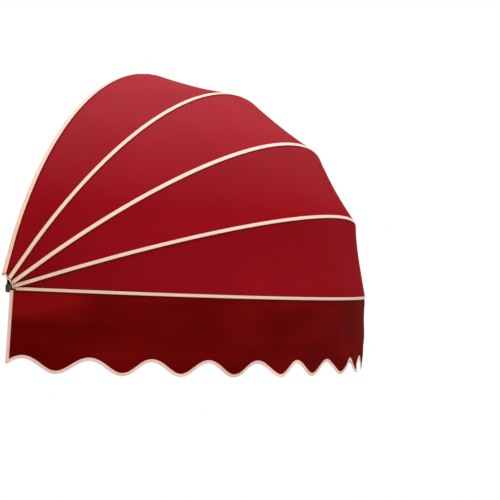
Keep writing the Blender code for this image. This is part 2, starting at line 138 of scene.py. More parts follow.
BODIES = ("wall_frame", "second_bow", "third_bow", "fourth_bow", "front_frame")
BOWS = ("wall_bow", "bow_2", "bow_3", "bow_4", "front_bow")
STEEL_BEVEL = 0.0004
TAPE_ROUNDING = 0.5
WELD = 1e-6
FLAT_ANGLE = math.radians(1)
SHARP_EDGE = math.radians(40)
SHARP_TAPE_EDGE = math.radians(50)
FULL_TURN = 2 * math.pi

# The photograph's view: place, turn, tilt and roll of the camera, and its lens on a 36 mm sensor
CAMERA_PLACE = (-6.1916, -2.3297, -0.4616)
CAMERA_YAW = math.radians(72.022)
CAMERA_PITCH = math.radians(-0.045)
CAMERA_ROLL = math.radians(2.446)
LENS = 168.1
SENSOR = 36.0
FLOOR_BELOW_HINGE = 2.05
FLOOR_SIZE = 60.0
WORLD_STRENGTH = 0.42
LIT_POINT = (0.0, -0.3, -0.3)

# Linear colours
PANEL_RED = (0.300, 0.0055, 0.0120)
PANEL_SHADE = (0.250, 0.0030, 0.0060)
# Lighter, whiter red for the top of the canopy: sun fade and a painted sheen highlight
PANEL_FADE_AND_SHEEN = (0.420, 0.052, 0.068)
# The valance's red runs between these two by its painted fold shade and painted light
VALANCE_RED = (0.330, 0.0060, 0.0060)
VALANCE_SHADE = (0.078, 0.0004, 0.0003)
# Painted shadow: the dark line on the cloth along the edge of a tape
SEAM_SHADOW = (0.060, 0.0060, 0.0015)
TAPE_CREAM = (0.970, 0.670, 0.590)
TAPE_WARM = (0.980, 0.680, 0.460)
TAPE_THREAD = (0.800, 0.560, 0.460)
TUBE_WHITE = (0.780, 0.770, 0.740)
TUBE_GRIME = (0.520, 0.480, 0.410)
# Hinge steel: zinc darkened and browned as painted shade at the hubs
HINGE_IN_SHADE = (0.110, 0.080, 0.045)
HINGE_IN_DEEP_SHADE = (0.040, 0.024, 0.010)
CLEAN_ZINC = (0.600, 0.600, 0.590)
DULL_ZINC = (0.420, 0.410, 0.390)
NYLON = (0.700, 0.670, 0.600)
NYLON_AGED = (0.560, 0.490, 0.370)

# Cloth and tape finish: thread pitch, the painted shadow beside a tape, ribs and stitches
THREAD = 0.0009
PANEL_SHADOW_BAND = (0.0052, 0.0120)
VALANCE_SHADOW_BAND = (-0.0125, -0.0045)
RIB_PITCH = 0.0016
STITCH_INSET = 0.0016
STITCH_HALF_WIDTH = 0.00045
STITCH_PITCH = 0.0055
STITCH_LENGTH = 0.0038
CLOTH_SOCKETS = {"Roughness": 0.85, "Specular IOR Level": 0.01, "Sheen Weight": 0.01,
                 "Sheen Roughness": 0.5, "Sheen Tint": (1.0, 0.45, 0.45, 1.0)}

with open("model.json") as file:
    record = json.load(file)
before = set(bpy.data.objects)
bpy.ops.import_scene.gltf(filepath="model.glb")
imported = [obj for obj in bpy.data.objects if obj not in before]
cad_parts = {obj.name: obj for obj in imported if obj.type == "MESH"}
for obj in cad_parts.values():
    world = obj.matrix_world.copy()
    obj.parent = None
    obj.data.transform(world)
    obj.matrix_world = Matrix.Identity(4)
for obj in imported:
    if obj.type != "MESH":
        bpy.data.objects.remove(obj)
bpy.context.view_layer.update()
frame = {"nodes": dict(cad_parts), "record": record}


def bow_curve(index, share):
    """Points, outward normals and tangents of a bow at shares of its length, and that length.

    x = half sin(t) / sin(T) and r = REACH (cos t - cos T) / (1 - cos T), spread by length.  The
    tube is straight over its tang, along the chord of one segment, and eases into the arc.
    """
    half = HALF_WIDTH - index * NEST
    spread = 1 - math.cos(ARC_LIMIT)
    first = math.acos(TUBE_START * spread / REACH + math.cos(ARC_LIMIT))
    turn = np.linspace(-first, first, FINE_STEPS)
    across = half * np.sin(turn) / math.sin(ARC_LIMIT)
    out = REACH * (np.cos(turn) - math.cos(ARC_LIMIT)) / spread
    arc = np.stack((across, out), -1)
    run = np.concatenate(([0.0], np.cumsum(np.linalg.norm(np.diff(arc, axis=0), axis=1))))
    even = np.linspace(0, run[-1], FINE_STEPS)
    arc = np.stack((np.interp(even, run, arc[:, 0]), np.interp(even, run, arc[:, 1])), -1)
    segment = run[-1] / BOW_SEGMENTS
    for flip in (1, -1):
        side = arc[::flip]
        knot = np.array([np.interp(segment, even, side[:, axis]) for axis in (0, 1)])
        chord = side[0] + (knot - side[0]) * (even / segment)[:, None]
        ease = np.clip((even - TANG_INSERT) / (segment - TANG_INSERT), 0, 1)
        ease = (ease * ease * (3 - 2 * ease))[:, None]
        arc = (chord * (1 - ease) + side * ease)[::flip]
    tangent = np.gradient(arc, axis=0)
    tangent /= np.linalg.norm(tangent, axis=1, keepdims=True)
    at = share * (FINE_STEPS - 1)
    steps = np.arange(FINE_STEPS)
    point = np.stack([np.interp(at, steps, arc[:, axis]) for axis in (0, 1)], -1)
    along = np.stack([np.interp(at, steps, tangent[:, axis]) for axis in (0, 1)], -1)
    outward = np.stack((-along[..., 1], along[..., 0]), -1)
    return point, outward, along, run[-1]


def cloth_curve(index, share, cut):
    """The bow's line for cloth: run on straight at both ends, down to a radius at the hub.

    Returns its points, its outward normals and how far it runs on beyond the tube.
    """
    tube_share = np.clip((share - HUB_SHARE) / (1 - 2 * HUB_SHARE), 0, 1)
    point, outward, along, _ = bow_curve(index, tube_share)
    beyond = np.clip(HUB_SHARE - share, 0, None) - np.clip(share - 1 + HUB_SHARE, 0, None)
    end_rise = bow_curve(index, np.zeros(1))[2][0, 1]
    run_on = (TUBE_START - cut) / end_rise
    point = point - along * (beyond / HUB_SHARE * run_on)[..., None]
    return point, outward, run_on


def cloth_shares():
    """Shares along a bow: close together at the hubs, even over the tube."""
    hub = np.linspace(0, HUB_SHARE, HUB_COLUMNS)
    tube = np.linspace(HUB_SHARE, 1 - HUB_SHARE, PANEL_COLUMNS)
    return np.concatenate((hub[:-1], tube, 1 - hub[-2::-1]))


def run_at(index, share, cut):
    """Length of cloth line from the left hub, in metres, at the given shares."""
    line = cloth_curve(index, share, cut)[0]
    return np.concatenate(([0.0], np.cumsum(np.linalg.norm(np.diff(line, axis=0), axis=1))))


def beside_bow(index, share, lift, rise, cut=None):
    """Points beside a bow at its angle: lift is outwards in its plane, rise is square to it."""
    point, outward, _ = cloth_curve(index, share, HUB_CUT[index] if cut is None else cut)
    across = point[:, 0] + outward[:, 0] * lift
    out = point[:, 1] + outward[:, 1] * lift
    angle = math.radians(BOW_ANGLES[index])
    y = HINGE_Y - math.cos(angle) * out + math.sin(angle) * rise
    z = HINGE_Z + math.sin(angle) * out + math.cos(angle) * rise
    return np.stack(np.broadcast_arrays(across, y, z), -1)


def grid_mesh(name, points, uv, closed=False):
    """A mesh through rows and columns of points.

    uv has a value in metres for each point, and one more row where the rows close into a tube.
    """
    rows, columns = points.shape[:2]
    row_list = np.arange(rows if closed else rows - 1)
    i, j = np.meshgrid(row_list, np.arange(columns - 1), indexing="ij")
    corner_rows = np.stack((i, i, i + 1, i + 1), -1).reshape(-1, 4)
    corner_columns = np.stack((j, j + 1, j + 1, j), -1).reshape(-1, 4)
    faces = (corner_rows % rows) * columns + corner_columns
    corners = uv[corner_rows, corner_columns].reshape(-1, 2)
    face_list = faces.tolist()
    if closed:
        face_list.append((np.arange(rows) * columns).tolist())
        face_list.append((np.arange(rows) * columns + columns - 1).tolist())
        corners = np.concatenate((corners, uv[:rows, 0], uv[:rows, -1]))
    mesh = bpy.data.meshes.new(name)
    mesh.from_pydata(points.reshape(-1, 3), [], face_list)
    layer = mesh.uv_layers.new(name="UVMap")
    layer.data.foreach_set("uv", corners.astype(np.float32).ravel())
    mesh.shade_smooth()
    if closed:
        shape = bmesh.new()
        shape.from_mesh(mesh)
        bmesh.ops.recalc_face_normals(shape, faces=shape.faces)
        shape.to_mesh(mesh)
        shape.free()
        mesh.set_sharp_from_angle(angle=SHARP_TAPE_EDGE)
    return mesh


def add_piece(name, mesh, finish):
    piece = bpy.data.objects.new(name, mesh)
    bpy.context.scene.collection.objects.link(piece)
    mesh.materials.append(finish)
    return piece


def add_thickness(piece, thickness, offset=0.0, even=False):
    shell = piece.modifiers.new("thickness", "SOLIDIFY")
    shell.thickness = thickness
    shell.offset = offset
    shell.use_even_offset = even


def flat_area(points):
    """Area of the cloth through a grid of points, in square metres."""
    first = points[1:, :-1] - points[:-1, :-1]
    second = points[:-1, 1:] - points[:-1, :-1]
    third = points[1:, 1:] - points[:-1, 1:]
    fourth = points[1:, 1:] - points[1:, :-1]
    one = np.linalg.norm(np.cross(first, second), axis=-1)
    two = np.linalg.norm(np.cross(third, fourth), axis=-1)
    return float((one + two).sum() / 2)


class Reading:
    """A number that varies over a surface; arithmetic on it adds Math nodes."""

    def __init__(self, finish, socket):
        self.finish = finish
        self.socket = socket

    def maths(self, operation, *others):
        values = {place: other for place, other in enumerate((self, *others))}
        made = self.finish.node("ShaderNodeMath", {"operation": operation}, values)
        return Reading(self.finish, made.outputs[0])

    def swapped(self, operation, other):
        made = self.finish.node("ShaderNodeMath", {"operation": operation}, {0: other, 1: self})
        return Reading(self.finish, made.outputs[0])

    def __add__(self, other):
        return self.maths("ADD", other)

    def __radd__(self, other):
        return self.maths("ADD", other)

    def __sub__(self, other):
        return self.maths("SUBTRACT", other)

    def __rsub__(self, other):
        return self.swapped("SUBTRACT", other)

    def __mul__(self, other):
        return self.maths("MULTIPLY", other)

    def __lt__(self, other):
        return self.maths("LESS_THAN", other)

    def __mod__(self, other):
        return self.maths("FLOORED_MODULO", other)

    def __abs__(self):
        return self.maths("ABSOLUTE")

    def sine(self):
        return self.maths("SINE")

    def clipped(self):
        return self.maths("MAXIMUM", 0.0).maths("MINIMUM", 1.0)

    def between(self, low, high):
        """0 below low, 1 above high, straight in between."""
        return ((self - low) * (1 / (high - low))).clipped()


class Finish:
    """A Principled material, with short ways to read a surface and to colour it."""

    def __init__(self, name, sockets):
        self.material = bpy.data.materials.new(name)
        self.material.use_nodes = True
        self.tree = self.material.node_tree
        self.shader = self.tree.nodes["Principled BSDF"]
        for socket, value in sockets.items():
            self.shader.inputs[socket].default_value = value

    def node(self, kind, settings=None, values=None):
        made = self.tree.nodes.new(kind)
        for key, value in (settings or {}).items():
            setattr(made, key, value)
        for key, value in (values or {}).items():
            self.feed(made.inputs[key], value)
        return made

    def feed(self, socket, value):
        if isinstance(value, Reading):
            value = value.socket
        if isinstance(value, bpy.types.NodeSocket):
            self.tree.links.new(value, socket)
        else:
            socket.default_value = value

    def place(self):
        """Object coordinates, in metres."""
        return self.node("ShaderNodeTexCoord").outputs["Object"]

    def cloth_place(self):
        """The piece's own UV map in metres: along, across and their vector."""
        vector = self.node("ShaderNodeUVMap", {"uv_map": "UVMap"}).outputs["UV"]
        parts = self.node("ShaderNodeSeparateXYZ", None, {0: vector})
        return Reading(self, parts.outputs[0]), Reading(self, parts.outputs[1]), vector

    def height(self):
        parts = self.node("ShaderNodeSeparateXYZ", None, {0: self.place()})
        return Reading(self, parts.outputs[2])

    def noise(self, vector, scale, detail=3.0, roughness=0.5, stretch=(1, 1, 1)):
        if stretch != (1, 1, 1):
            made = self.node("ShaderNodeMapping", None, {"Vector": vector, "Scale": stretch})
            vector = made.outputs[0]
        values = {"Vector": vector, "Scale": scale, "Detail": detail, "Roughness": roughness}
        return Reading(self, self.node("ShaderNodeTexNoise", None, values).outputs[0])

    def mixed(self, factor, first, second):
        """A colour between two colours."""
        made = self.node("ShaderNodeMix", {"data_type": "RGBA"}, {"Factor": factor})
        for socket, value in ((made.inputs[6], first), (made.inputs[7], second)):
            self.feed(socket, (*value, 1.0) if isinstance(value, tuple) else value)
        return made.outputs[2]

    def colour(self, value):
        self.feed(self.shader.inputs["Base Color"], value)

    def roughness(self, value):
        self.feed(self.shader.inputs["Roughness"], value)

    def bump(self, height, distance):
        values = {"Height": height, "Distance": distance, "Strength": 1.0}
        made = self.node("ShaderNodeBump", None, values)
        self.feed(self.shader.inputs["Normal"], made.outputs[0])


def weave_height(along, across, pitch):
    """Plain weave: a sine along times a sine across, which lifts every other crossing."""
    warp = (along * (FULL_TURN / pitch)).sine()
    weft = (across * (FULL_TURN / pitch)).sine()
    return warp * weft * 0.5 + 0.5


def woven(finish, base, shade, patches, across):
    """Colour, roughness and height of plain weave: threads and slubs along both ways."""
    along, _, vector = finish.cloth_place()
    weave = weave_height(along, across, THREAD)
    slub = finish.noise(vector, 1.0, 2.0, 0.6, (9, 1400, 1)) * 0.5
    slub = slub + finish.noise(vector, 1.0, 2.0, 0.6, (1400, 9, 1)) * 0.5
    yarn = (patches * 0.60 + slub * 0.25 + weave * 0.15).clipped()
    finish.roughness(0.80 + patches * 0.08 + slub * 0.06)
    finish.bump(weave * 0.7 + slub * 0.6, 0.00035)
    return finish.mixed(yarn, shade, base)


def make_panel_cloth():
    """Red acrylic, sun-faded and with a painted sheen highlight in soft patches towards the top,
    and a painted shadow along the tapes.
    """
    finish = Finish("canopy_cloth", CLOTH_SOCKETS)
    _, across, _ = finish.cloth_place()
    patches = finish.noise(finish.place(), 3.2, 4.0, 0.55).between(0.32, 0.68)
    red = woven(finish, PANEL_RED, PANEL_SHADE, patches, across)
    # Towards the top the red turns lighter and whiter: partly sun fade, partly a painted sheen
    # highlight
    fade_and_sheen = finish.height().between(-0.36, 0.04) * (finish.noise(finish.place(), 7.0) * 0.5 + 0.55)
    red = finish.mixed(fade_and_sheen.clipped() * 0.75, red, PANEL_FADE_AND_SHEEN)
    # Painted shadow: a dark line on the cloth along the back bow's tape
    seam_shadow = 1 - across.between(*PANEL_SHADOW_BAND)
    finish.colour(finish.mixed(seam_shadow * 0.8, red, SEAM_SHADOW))
    return finish.material


def make_valance_cloth():
    """The same cloth, hanging and darker: slanted, cloudy painted shade of folds, painted light
    along the top and most at the top of the left end, and a painted shadow under the front tape.
    """
    finish = Finish("valance_cloth", CLOTH_SOCKETS)
    along, across, vector = finish.cloth_place()
    # Painted shade of soft folds: slanted, cloudy stripes of darker and lighter red
    fold_shading = finish.noise(vector, 1.0, 3.0, 0.5, (4.2, 17.0, 1)) * 0.6
    fold_shading = fold_shading + finish.noise(finish.place(), 6.0, 3.0, 0.5) * 0.4
    # Painted light: a lit patch at the top of the left end, and the whole top a little lighter
    light = 1 - along.between(0.02, 0.22)
    high = across.between(-0.085, -0.02)
    patches = (fold_shading.between(0.42, 0.66) * 0.36 + light * high * 2.2 + high * 0.10).clipped()
    red = woven(finish, VALANCE_RED, VALANCE_SHADE, patches, across)
    # Painted shadow: a dark line on the valance just under the front tape
    seam_shadow = across.between(*VALANCE_SHADOW_BAND)
    finish.colour(finish.mixed(seam_shadow * 0.75, red, SEAM_SHADOW))
    return finish.material


def make_tape(name, stitch_row, warmth):
    """Cream woven tape: slanted ribs, rows of stitches, and yellowed towards the hubs."""
    finish = Finish(name, {"Roughness": 0.75, "Specular IOR Level": 0.05})
    along, across, vector = finish.cloth_place()
    ribs = ((along + abs(across)) * (FULL_TURN / RIB_PITCH)).sine() * 0.5 + 0.5
    row = abs(abs(across) - stitch_row) < STITCH_HALF_WIDTH
    dash = (along % STITCH_PITCH) < STITCH_LENGTH
    stitch = row * dash
    patches = finish.noise(finish.place(), 5.0, 4.0, 0.6).between(0.35, 0.7)
    sideways = side_reach(finish).between(0.68, 0.96)
    aged = (sideways * warmth + patches * 0.2).clipped()
    cream = finish.mixed(aged, TAPE_CREAM, TAPE_WARM)
    finish.colour(finish.mixed(stitch * 0.6 + ribs * 0.10, cream, TAPE_THREAD))
    finish.roughness(0.62 + patches * 0.12)
    finish.bump(ribs * 0.5 + stitch * 1.2, 0.0003)
    return finish.material


def side_reach(finish):
    """Distance from the middle of the awning, in metres."""
    parts = finish.node("ShaderNodeSeparateXYZ", None, {0: finish.place()})
    return abs(Reading(finish, parts.outputs[0]))


def make_powder_coat():
    """White powder coat: fine orange peel, a little grime in soft patches."""
    finish = Finish("coated_tube", {"Roughness": 0.35, "Coat Weight": 0.15})
    place = finish.place()
    grime = finish.noise(place, 14.0, 5.0, 0.65).between(0.52, 0.8)
    finish.colour(finish.mixed(grime * 0.45, TUBE_WHITE, TUBE_GRIME))
    finish.roughness(0.32 + grime * 0.25)
    finish.bump(finish.noise(place, 900.0, 2.0), 0.0001)
    return finish.material


def make_zinc(name, light, dark, metallic):
    """Zinc plate: cloudy spangle, darker tarnish and fine drawn lines."""
    finish = Finish(name, {"Metallic": metallic, "Roughness": 0.45})
    place = finish.place()
    tarnish = finish.noise(place, 45.0, 5.0, 0.6).between(0.38, 0.66)
    lines = finish.noise(place, 1.0, 2.0, 0.5, (60, 1500, 1500))
    finish.colour(finish.mixed((tarnish * 0.8 + lines * 0.2).clipped(), light, dark))
    finish.roughness(0.40 + tarnish * 0.25)
    finish.bump(lines * 0.4 + tarnish * 0.6, 0.0001)
    return finish.material


def make_nylon():
    """Natural nylon, slightly yellowed, with faint turning marks."""
    finish = Finish("nylon", {"Roughness": 0.45, "Subsurface Weight": 0.1,
                              "Subsurface Radius": (0.004, 0.003, 0.002)})
    place = finish.place()
    aged = finish.noise(place, 120.0, 3.0).between(0.4, 0.7)
    finish.colour(finish.mixed(aged, NYLON, NYLON_AGED))
    finish.roughness(0.40 + aged * 0.15)
    finish.bump(finish.noise(place, 1.0, 1.0, 0.5, (2600, 200, 200)), 0.00005)
    return finish.material


def shoulder(out, half_gap):
    """How far the cloth lies flat over a tube; near the hub the next bow limits it."""
    return np.minimum(TUBE_WIDTH / 2 + SEAT_GAP + CLOTH, SHOULDER_SHARE * out * math.sin(half_gap))


def soft_wave(run, share, index):
    """Slow waves of taut cloth, up to 2 mm either way: three crossing sines, zero at the bows."""
    wave = 0
    for place, (height, length, slant) in enumerate(SOFT_WAVES, 1):
        start = place * (SOFT_START * index)
        wave = wave + height * np.sin(FULL_TURN * run / length + slant * share + start)
    return SOFT_HEIGHT * wave * 4 * share * (1 - share)


def panel_grid(index, share):
    """Cloth from one bow to the next: flat over each tube, taut in between.

    Between the shoulders it is the straight line from bow to bow, drawn in towards the hinge
    line by sag 4 w (1 - w), with slow waves.  Returns the points, each row's share w of the way,
    and the UV map: metres along the bow, and metres across from the bow's line.
    """
    half_gap = math.radians(BOW_ANGLES[index] - BOW_ANGLES[index + 1]) / 2
    lines = [cloth_curve(each, share, HUB_CUT[each]) for each in (index, index + 1)]
    outs = [point[:, 1] + outward[:, 1] * CLOTH_LIFT for point, outward, _ in lines]
    back_rise = TAPE_WIDTHS[0] / 2 + SEAT_GAP if index == 0 else -SEAT_GAP / 2
    front_rise = SEAT_GAP - SEAM_DROP if index + 1 == FRONT else SEAT_GAP / 2
    back = beside_bow(index, share, CLOTH_LIFT, -shoulder(outs[0], half_gap))
    front = beside_bow(index + 1, share, CLOTH_LIFT, shoulder(outs[1], half_gap))
    w = np.linspace(0, 1, PANEL_ROWS)[:, None]
    middle = back * (1 - w[..., None]) + front * w[..., None]
    inward = np.array([0.0, HINGE_Y, HINGE_Z]) - middle * np.array([0, 1, 1])
    inward /= np.linalg.norm(inward, axis=-1, keepdims=True)
    run = run_at(index, share, HUB_CUT[index])
    taper = outs[0] / REACH
    draw = PANEL_SAG * taper * 4 * w * (1 - w)
    draw = draw + soft_wave(run, w, index) * np.clip(SOFT_FADE * taper, 0, 1)
    middle = middle + inward * draw[..., None]
    first = beside_bow(index, share, CLOTH_LIFT, back_rise)[None]
    last = beside_bow(index + 1, share, CLOTH_LIFT, front_rise)[None]
    points = np.concatenate((first, middle, last))
    weights = np.concatenate(([0.0], w[:, 0], [1.0]))
    steps = np.linalg.norm(np.diff(points, axis=0), axis=-1)
    across = np.concatenate((np.zeros((1, len(share))), np.cumsum(steps, axis=0)))
    uv = np.stack((np.broadcast_to(run, across.shape), across - back_rise), -1)
    return points, weights, uv


def hub_fold(index, points):
    """Near a hub: how firmly cloth keeps to the tubes, and its push forward when it is folded.

    The push, in shares of the fold, moves bunched cloth and tape clear of the tangs behind it:
    asin(TANG_CLEAR / radius) less the angle between two folded bows.
    """
    out = np.hypot(points[..., 1] - HINGE_Y, points[..., 2] - HINGE_Z)
    reach = np.arcsin(np.clip(TANG_CLEAR / np.maximum(out, TANG_CLEAR), 0, 1))
    push = np.clip(np.degrees(reach) - FOLDED_GAP, 0, PUSH_LIMIT)
    firm = np.clip((out - HUB_SOFT) / (HUB_FIRM - HUB_SOFT), 0, 1)
    firm = firm * firm * (3 - 2 * firm)
    return firm, push / (BOW_ANGLES[index] - BOW_ANGLES[index + 1] - FOLDED_GAP)


def fold_weights(index, points, rows):
    """Share of the fold of cloth: the row's over the tubes, its own angle's near a hub."""
    turned = np.degrees(np.arctan2(points[..., 2] - HINGE_Z, HINGE_Y - points[..., 1]))
    gap = BOW_ANGLES[index] - BOW_ANGLES[index + 1]
    share = np.clip((BOW_ANGLES[index] - turned) / gap, 0, 1)
    firm, push = hub_fold(index, points)
    # Nothing is pushed at the wall bow and at the front bow
    held = (share, 1, 1, 1 - share)[index]
    return (share - push * held) * (1 - firm) + rows * firm


def crumple_weights(index, points):
    """Share of the fold for the tape on a bow: near a hub it narrows and moves forward."""
    gap_index = min(index, FRONT - 1)
    firm, push = hub_fold(gap_index, points)
    closing = BOW_ANGLES[gap_index] - BOW_ANGLES[gap_index + 1] - FOLDED_GAP
    turned = np.degrees(np.arctan2(points[..., 2] - HINGE_Z, HINGE_Y - points[..., 1]))
    narrowed = (BOW_ANGLES[index] - turned) * (1 - CRUMPLED) / closing
    return index - gap_index + (narrowed - push) * (1 - firm)


def bend_with_bows(piece, index, weights):
    """Bakes the piece's placing into its mesh."""
    start = (0.0, *beside_bow(index, np.array([0.5]), CLOTH_LIFT, 0.0)[0, 1:])
    end = (0.0, *beside_bow(index + 1, np.array([0.5]), CLOTH_LIFT, 0.0)[0, 1:])
    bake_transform(piece)


def add_panel(index, finish):
    share = cloth_shares()
    points, weights, uv = panel_grid(index, share)
    name = f"canopy_panel_{index + 1}"
    piece = add_piece(name, grid_mesh(name, points, uv), finish)
    add_thickness(piece, CLOTH)
    bend_with_bows(piece, index, fold_weights(index, points, weights[:, None]))
    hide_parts(f"panel_{index + 1}")
    return piece, points, uv


def folded_tape_section(width):
    """A tape folded round a cloth edge: across (0 at the fold, width at its hems) and height."""
    outer = EDGE_TAPE_THICKNESS / 2
    inner = EDGE_TAPE_SLOT / 2
    turn = np.linspace(math.pi / 2, 3 * math.pi / 2, SECTION_STEPS // 2 + 1)
    fold_out = np.stack((outer + outer * np.cos(turn), outer * np.sin(turn)), -1)
    fold_in = np.stack((outer + inner * np.cos(turn[::-1]), inner * np.sin(turn[::-1])), -1)
    hems_out = np.array([(width, outer * HEM_SHARE)])
    hems_in = np.array([(width, -outer * HEM_SHARE), (width, -inner)])
    return np.concatenate((hems_out, fold_out, hems_in, fold_in, [(width, inner)]))


def add_hub_tape(index, finish):
    """Narrow folded tape on the cut edge of a panel at both hubs, from bow to bow."""
    section = folded_tape_section(HUB_TAPE_WIDTH)
    meshes = []
    values = []
    for side in (0, 1):
        near = np.array([0.0, HUB_SHARE * HUB_TAPE_STEP])
        share = near if side == 0 else 1 - near[::-1]
        points, weights, _ = panel_grid(index, share)
        edge = points[:, 0 if side == 0 else -1]
        inside = points[:, -1 if side == 0 else 0]
        inward = inside - edge
        inward /= np.linalg.norm(inward, axis=-1, keepdims=True)
        along = np.gradient(edge, axis=0)
        along /= np.linalg.norm(along, axis=-1, keepdims=True)
        up = np.cross(along, inward)
        up /= np.linalg.norm(up, axis=-1, keepdims=True)
        place = section[:, None, :] - np.array([EDGE_TAPE_THICKNESS / 2, 0])
        grid = edge[None] + inward[None] * place[..., :1] + up[None] * place[..., 1:]
        run = np.concatenate(([0.0], np.cumsum(np.linalg.norm(np.diff(edge, axis=0), axis=-1))))
        loop = np.concatenate((section[:, 0], section[:1, 0]))
        uv = np.stack(np.broadcast_arrays(run[None], loop[:, None]), -1)
        meshes.append(grid_mesh("hub_tape", grid, uv, closed=True))
        values.append(fold_weights(index, grid, weights[None]).ravel())
    name = f"hub_tape_{index + 1}"
    joined = bmesh.new()
    for mesh in meshes:
        joined.from_mesh(mesh)
    mesh = bpy.data.meshes.new(name)
    joined.to_mesh(mesh)
    joined.free()
    for part in meshes:
        bpy.data.meshes.remove(part)
    piece = add_piece(name, mesh, finish)
    bend_with_bows(piece, index, np.concatenate(values))
    return piece


def superellipse(width, height, power):
    """Closed section: each of cos and sin of the turn raised to a power, with its sign kept."""
    turn = np.linspace(0, FULL_TURN, SECTION_STEPS, endpoint=False) - math.pi / 2
    across = np.sign(np.cos(turn)) * np.abs(np.cos(turn)) ** power * width / 2
    up = np.sign(np.sin(turn)) * np.abs(np.sin(turn)) ** power * height / 2
    return across, up


def add_bow_tape(index, finish):
    """Flat tape sewn over a bow, from one hub tape to the other: a rounded flat section."""
    _, _, run_on = cloth_curve(index, np.array([0.5]), HUB_CUT[index])
    clear = HUB_SHARE * (HUB_TAPE_WIDTH + SEAT_GAP) / run_on
    share = cloth_shares()
    share = np.concatenate(([clear], share[(share > clear) & (share < 1 - clear)], [1 - clear]))
    across, up = superellipse(TAPE_WIDTHS[index], TAPE_HEIGHT, TAPE_ROUNDING)
    grid = beside_bow(index, share, TAPE_LIFT + up[:, None], across[:, None])
    run = run_at(index, share, HUB_CUT[index])
    loop = np.append(across, across[0])
    uv = np.stack(np.broadcast_arrays(run[None], loop[:, None]), -1)
    name = f"bow_tape_{index + 1}"
    piece = add_piece(name, grid_mesh(name, grid, uv, closed=True), finish)
    if index == 0:
        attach(piece, BODIES[index])
    else:
        bend_with_bows(piece, min(index, FRONT - 1), crumple_weights(index, grid))
    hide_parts(f"braid_{index + 1}")
    return piece


def add_bow_tube(index, finish):
    """Flat oval tube: two half rounds joined by flats, carried along the bow."""
    share = np.linspace(0, 1, PANEL_COLUMNS)
    radius = TUBE_HEIGHT / 2
    turn = np.linspace(0, FULL_TURN, SECTION_STEPS, endpoint=False)
    across = np.sign(np.cos(turn)) * (TUBE_WIDTH / 2 - radius) + radius * np.cos(turn)
    lift = radius * np.sin(turn)
    point, outward, _, length = bow_curve(index, share)
    x = point[:, 0] + outward[:, 0] * lift[:, None]
    out = point[:, 1] + outward[:, 1] * lift[:, None]
    angle = math.radians(BOW_ANGLES[index])
    y = HINGE_Y - math.cos(angle) * out + math.sin(angle) * across[:, None]
    z = HINGE_Z + math.sin(angle) * out + math.cos(angle) * across[:, None]
    grid = np.stack((x, y, z), -1)
    grid = np.concatenate((grid, grid[:1]))
    loop = np.linspace(0, 2 * (TUBE_WIDTH + TUBE_HEIGHT), SECTION_STEPS + 1)
    uv = np.stack(np.broadcast_arrays((share * length)[None], loop[:, None]), -1)
    name = f"{BOWS[index]}_tube"
    mesh = grid_mesh(name, grid, uv)
    shape = bmesh.new()
    shape.from_mesh(mesh)
    bmesh.ops.remove_doubles(shape, verts=shape.verts, dist=WELD)
    shape.to_mesh(mesh)
    shape.free()
    piece = add_piece(name, mesh, finish)
    add_thickness(piece, TUBE_WALL, WALL_INWARDS, even=True)
    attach(piece, BODIES[index])
    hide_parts(BOWS[index])


def scallop_edge(run, length):
    """Drop of the valance's edge: a wave with a notch in the middle, rounded at both ends."""
    middle = (SCALLOP_TIP + SCALLOP_NOTCH) / 2
    swing = (SCALLOP_TIP - SCALLOP_NOTCH) / 2
    wave = swing * np.cos(FULL_TURN * SCALLOPS * (run / length - 0.5)) - middle
    inset = np.clip(CORNER_RADIUS - np.minimum(run, length - run), 0, CORNER_RADIUS)
    corner = CORNER_RADIUS - np.sqrt(CORNER_RADIUS ** 2 - inset ** 2)
    return wave + corner


